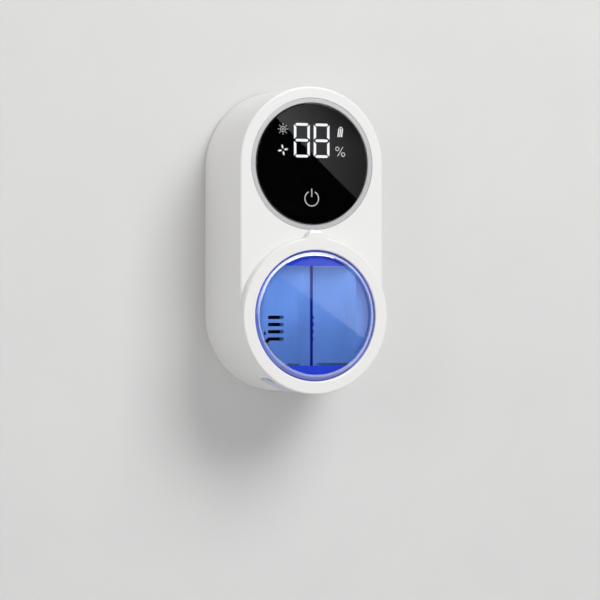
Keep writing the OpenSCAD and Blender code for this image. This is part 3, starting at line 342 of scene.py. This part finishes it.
# ---- Magnets -------------------------------------------------------------------------------
# Sintered neodymium discs, pressed into the case front and the back of the door. Nickel
# plating makes them bright, with a soft haze.
nickel, tree, shader, place = surface("nickel_plated_magnet", Metallic=1.0)
grain(tree, shader, place, 0.5, 0.001, ("#BDBAB4", "#CFCCC6"), (0.14, 0.24))
coat(nickel, "case_magnets", "door_magnets")

# ---- Door ring -----------------------------------------------------------------------------
# The ring and its hinge tab are one moulding of the same white ABS as the case, a little
# glossier because the mould's front half is polished.
door_abs, tree, shader, place = surface("polished_white_abs", IOR=1.54, Coat_Weight=0.25,
                                        Coat_Roughness=0.15)
grain(tree, shader, place, 1.1, 0.0012, ("#EDEDEC", "#F1F1F0"), (0.3, 0.38))
coat(door_abs, "door_ring")

# ---- Door window ---------------------------------------------------------------------------
# A dished disc of clear blue polycarbonate with a rolled edge, clamped in the ring from
# behind. The tint is in the plastic. The roll is made milky and painted a deeper blue than the
# clear middle, as painted shade for the dark it shows at the rim. The back of the disc has a
# painted glow, and a hard coat makes the roll shine.
low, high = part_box("door_window")
window_z = (low.z + high.z) / 2
front, rear, flange_r = low.y * 1000, high.y * 1000, (high.x - low.x) / 2 * 1000
flange_mm, flange_step_mm, wall_mm, roll_mm, drop_mm = 0.8, 1.2, 2.0, 4.0, 2.4
rim_r = flange_r - flange_step_mm
roll_r = rim_r - roll_mm
bend = np.linspace(0, np.pi / 2, 33)


def quarter(across, deep, turn):
    """A quarter of an ellipse (roll_r + across cos t, front + drop_mm - deep sin t), from its
    side at t = 0 to its front at a right angle."""
    return np.stack([roll_r + across * np.cos(turn),
                     front + drop_mm - deep * np.sin(turn)], 1).tolist()


# A loop just inside the roll, on both faces, keeps the smooth shading of the flat middle flat
flat_r, flange_front, inner_front = roll_r - 0.2, rear - flange_mm, front + wall_mm
window = lathe("rolled_window",
               [(flange_r, flange_front), (rim_r, flange_front),
                *quarter(roll_mm, drop_mm, bend),
                (flat_r, front), (0, front), (0, inner_front), (flat_r, inner_front),
                *quarter(roll_mm - wall_mm, drop_mm - wall_mm, bend[::-1]),
                (rim_r - wall_mm, rear), (flange_r, rear)], window_z, steps=384)

# The radii in mm where the painted shade deepens the roll's blue, and where the hard coat starts
# and ends
roll_shade_start, roll_shade_end = roll_r + 0.8, rim_r + 0.4
coat_start, coat_full = roll_r + 0.2, roll_r + 1.2
coat_thins, coat_end = rim_r - 1.0, rim_r - 0.1
# The emission colour is the blue of a painted glow on the back of the disc
tinted, tree, shader, place = surface("blue_tinted_polycarbonate", IOR=1.585, Coat_IOR=2.2,
                                      Emission_Color=linear("#5C90EE"), Coat_Roughness=0.03)
grain(tree, shader, place, 14.0, 0.0003, ("#A4C6FB", "#A9C9FC"), (0.0, 0.004))
centred = add(tree, "Mapping", {"Location": (0, 0, -window_z), "Scale": (1, 0, 1)},
              {"Vector": place})
radius = add(tree, "VectorMath", links={0: centred.outputs[0]}, operation="LENGTH")
# Painted shade: out on the roll the blue deepens and the plastic turns half milky
rolled = add(tree, "MapRange", {"From Min": roll_shade_start / 1000, "From Max": roll_shade_end / 1000},
             {"Value": radius.outputs["Value"]}, interpolation_type="SMOOTHSTEP")
tint = shader.inputs["Base Color"].links[0].from_socket
deep = add(tree, "Mix", {7: linear("#3F4CDA")}, {0: rolled.outputs[0], 6: tint},
           data_type="RGBA")
milky = add(tree, "MapRange", {"To Min": 1.0, "To Max": 0.5}, {"Value": rolled.outputs[0]})
# Painted glow: the disc emits a weak blue light that grows towards its rear face, for the lit
# chamber seen through the rim
spot = add(tree, "SeparateXYZ", links={0: place})
painted_glow = add(tree, "MapRange", {"From Min": inner_front / 1000, "From Max": rear / 1000,
                                  "To Max": 0.22}, {"Value": spot.outputs["Y"]})
hard_coat = add(tree, "MapRange", {"From Min": coat_start / 1000, "From Max": coat_full / 1000},
                {"Value": radius.outputs["Value"]}, interpolation_type="SMOOTHSTEP")
bare = add(tree, "MapRange", {"From Min": coat_thins / 1000, "From Max": coat_end / 1000,
                              "To Min": 1.0, "To Max": 0.0},
           {"Value": radius.outputs["Value"]})
coated = add(tree, "Math", links={0: hard_coat.outputs[0], 1: bare.outputs[0]},
             operation="MULTIPLY")
tree.links.new(deep.outputs[2], shader.inputs["Base Color"])
tree.links.new(milky.outputs[0], shader.inputs["Transmission Weight"])
tree.links.new(painted_glow.outputs[0], shader.inputs["Emission Strength"])
tree.links.new(coated.outputs[0], shader.inputs["Coat Weight"])
window.data.materials.append(tinted)
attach(window, "door")
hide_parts("door_window")

# ---- Window clamp --------------------------------------------------------------------------
# A frame moulded in ABS, which holds the window in the ring from behind. Its satin skin is
# seen through the window, and its deep blue is painted shade for the dim bands above and
# below the cells.
shade_blue_abs, tree, shader, place = surface("abs_with_painted_shade_blue", IOR=1.54, Coat_Weight=0.3,
                                        Coat_Roughness=0.2)
grain(tree, shader, place, 1.2, 0.003, ("#5661D6", "#5E69DC"), (0.3, 0.4))
coat(shade_blue_abs, "window_clamp")

# ---- Studio --------------------------------------------------------------------------------
# Not part of the object: the painted wall that it hangs on, a pale floor, soft lamps, the
# glowing sheets of a light tent that its shiny pieces reflect, and the camera. All of it is
# in metres and watts.


def sheet(name, points, rows, made):
    """A grid of quads through points, listed row by row, as a stage object. The corners of the
    quad at row i and place j are (i, j), (i, j + 1), (i + 1, j + 1) and (i + 1, j)."""
    columns = len(points) // rows
    i, j = np.meshgrid(np.arange(rows - 1), np.arange(columns - 1), indexing="ij")
    first = i * columns + j
    faces = np.stack([first, first + 1, first + columns + 1, first + columns], -1)
    mesh = bpy.data.meshes.new(name)
    mesh.from_pydata(points, [], faces.reshape(-1, 4))
    mesh.materials.append(made)
    stand = bpy.data.objects.new(name, mesh)
    bpy.context.scene.collection.objects.link(stand)
    return stand


# The wall shows from the front alone, and rays that start just in front of it pass through. So
# views from behind see the object's back, and a lamp behind it lights it.
wall_y, near = 0.0003, 0.004
side, wall_foot, wall_top, floor_front, floor_z = 2.5, -1.2, 2.5, -3.0, -0.6
plaster, tree, shader, place = surface("painted_wall", Specular_IOR_Level=0.2)
grain(tree, shader, place, 60.0, 0.15, ("#D7D7D7", "#DEDEDD"), (0.8, 0.9), detail=6)
clear = add(tree, "BsdfTransparent")
start = add(tree, "Math", {1: near}, {0: add(tree, "LightPath").outputs["Ray Length"]},
            operation="LESS_THAN")
rear_face = add(tree, "NewGeometry").outputs["Backfacing"]
unseen = add(tree, "Math", links={0: rear_face, 1: start.outputs[0]}, operation="MAXIMUM")
sided = add(tree, "MixShader",
            links={0: unseen.outputs[0], 1: shader.outputs[0], 2: clear.outputs[0]})
tree.links.new(sided.outputs[0], tree.nodes["Material Output"].inputs["Surface"])
sheet("wall", [(x, wall_y, z) for z in (wall_foot, wall_top) for x in (-side, side)], 2, plaster)

ground, tree, shader, place = surface("pale_floor", Specular_IOR_Level=0.2)
grain(tree, shader, place, 3.0, 0.05, ("#D8D8DA", "#DEDEE0"), (0.7, 0.85))
sheet("floor", [(x, y, floor_z) for y in (floor_front, wall_y) for x in (-side, side)], 2, ground)


def softbox(name, place_at, power):
    """A white square area light of 1 m at place_at that faces the origin."""
    lamp = bpy.data.lights.new(name, "AREA")
    lamp.size = 1.0
    lamp.energy = power
    stand = bpy.data.objects.new(name, lamp)
    stand.location = place_at
    stand.rotation_mode = "QUATERNION"
    stand.rotation_quaternion = Vector(place_at).to_track_quat("Z", "Y")
    bpy.context.scene.collection.objects.link(stand)
    return stand


softbox("key", (0.55, -1.35, 1.25), 26)
softbox("fill", (-1.4, -0.9, 0.5), 3.5)
behind = softbox("behind", (-0.7, 1.3, 0.9), 16)
back_nodes = bpy.data.collections.new("back")
for name in ("adhesive_pad", "wall_plate", "rear_cover", "rear_cover_screws"):
    back_nodes.objects.link(nodes[name])
behind.light_linking.receiver_collection = back_nodes

# An even white room. In reflections the part behind the camera is dark, so that black glass
# looks black from the front. dark_from and dark_to are the Y of a direction.
room, dark_room, backdrop = 0.42, 0.02, 0.78
dark_from, dark_to = -0.86, -0.7
world = bpy.data.worlds.new("studio_air")
bpy.context.scene.world = world
world.use_nodes = True
tree = world.node_tree
air = tree.nodes["Background"]
air.inputs["Color"].default_value = linear("#FFFDFB")
direction = add(tree, "SeparateXYZ", links={0: add(tree, "TexCoord").outputs["Generated"]})
dark = add(tree, "MapRange", {"From Min": dark_from, "From Max": dark_to, "To Min": dark_room,
                              "To Max": room}, {"Value": direction.outputs["Y"]})
path = add(tree, "LightPath")
mirrored = add(tree, "Mix", {2: room}, {0: path.outputs["Is Glossy Ray"], 3: dark.outputs[0]})
seen = add(tree, "Mix", {3: backdrop},
           {0: path.outputs["Is Camera Ray"], 2: mirrored.outputs[0]})
tree.links.new(seen.outputs[0], air.inputs["Strength"])

# Glowing sheets that show only in the reflections of the objects they are made for, as parts
# of a light tent would
eye = np.array([-0.48351, -1.15086, -0.02796])
view_yaw = 0.4074


def tent(name, points, strengths, *receivers):
    """A glowing sheet through two equal rows of points, with a strength at each point, that
    only the objects receivers reflect."""
    made = bpy.data.materials.new(name)
    made.use_nodes = True
    tree = made.node_tree
    tree.nodes.clear()
    level = add(tree, "Attribute", attribute_name="strength")
    shine = add(tree, "Emission", links={"Strength": level.outputs["Fac"]})
    add(tree, "OutputMaterial", links={"Surface": shine.outputs[0]})
    stand = sheet(name, points, 2, made)
    strength = stand.data.attributes.new("strength", "FLOAT", "POINT")
    strength.data.foreach_set("value", np.array(strengths, np.float32))
    stand.visible_camera = False
    stand.visible_diffuse = False
    stand.visible_transmission = False
    stand.visible_shadow = False
    shown_in = bpy.data.collections.new(name)
    for receiver in receivers:
        shown_in.objects.link(receiver)
    stand.light_linking.receiver_collection = shown_in


def reflected(node_name, x_mm, z_mm, reach=0.9):
    """Where the line from the camera to a point on the front of a node, x_mm and z_mm from its
    middle, goes on to when the front reflects it: the Y component of its direction changes
    sign there. reach is how far it goes on."""
    low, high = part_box(node_name)
    hit = np.array([x_mm / 1000, low.y, (low.z + high.z) / 2 + z_mm / 1000])
    ray = (hit - eye) / np.linalg.norm(hit - eye)
    return hit + ray * np.array([1, -1, 1]) * reach


# One card for each pane brightens it on one side of a slanting line. start and end are two
# places on that line, as (x, z) in millimetres from the pane's middle, and the card goes on
# from there for width millimetres. The strengths are at start, at end, and across from each.
diagonal = [("display_glass", nodes["display_glass"], (-24, 26), (28, -21), 27,
             (1.3, 0.28, 0.2, 0.02)),
            ("door_window", window, (-29, 25.5), (32, -16), 50, (0.5, 1.8, 0.5, 2.0))]
for name, pane, start, end, width, strengths in diagonal:
    along = np.subtract(end, start)
    across = np.array([-along[1], along[0]]) / np.linalg.norm(along) * width
    corners = (start, end, start + across, end + across)
    tent(f"{name}_card", [reflected(name, *corner) for corner in corners], strengths, pane)

# A round tunnel along Y shows in the window's roll and in the metal pieces. Each row has an
# angle in degrees, 0 at +X and 90 at the top, the places along Y where the tunnel starts and
# ends there, and its strength.
tunnel_r = 0.55
tunnel = np.array([(-180, -0.7, -3.0, 1.5), (-150, -0.9, -3.0, 1.8), (-120, -1.0, -2.4, 1.6),
                   (-90, -0.9, -2.2, 1.5), (-60, -0.5, -1.5, 1.5), (-30, -0.01, -0.5, 1.7),
                   (0, -0.01, -0.37, 1.8), (30, -0.01, -0.4, 2.2), (60, -0.01, -0.7, 4.2),
                   (90, -0.01, -0.86, 4.8), (120, -0.2, -1.0, 4.4), (150, -0.5, -2.5, 2.8),
                   (180, -0.7, -3.0, 1.5)])
angle = np.linspace(-180, 180, 145)
starts, ends, strength = (np.interp(angle, tunnel[:, 0], column) for column in tunnel.T[1:])
angle = np.radians(angle)
rows = [np.stack([tunnel_r * np.cos(angle), y, tunnel_r * np.sin(angle)], 1)
        for y in (starts, ends)]
metals = [nodes[name] for name in ("trim_ring", "case_magnets", "door_magnets",
                                   "hinge_bracket", "hinge_pin", "usb_socket",
                                   "rear_cover_screws", "liner_screws")]
tent("roll_tunnel", np.concatenate(rows), np.tile(strength, 2), window, *metals)

# A plain card in front of the metal pieces gives them their even grey
card_x, card_y, card_z, card_strength = 1.2, -1.6, 1.0, 0.72
tent("metal_card", [(x, card_y, z) for z in (-card_z, card_z) for x in (-card_x, card_x)],
     (card_strength,) * 4, *metals)

camera = bpy.data.cameras.new("camera")
camera.lens = 156
camera.sensor_width = 36
viewer = bpy.data.objects.new("camera", camera)
viewer.location = eye
viewer.rotation_euler = (np.pi / 2, 0, -view_yaw)
bpy.context.scene.collection.objects.link(viewer)
bpy.context.scene.camera = viewer
bpy.context.scene.view_settings.view_transform = "Standard"
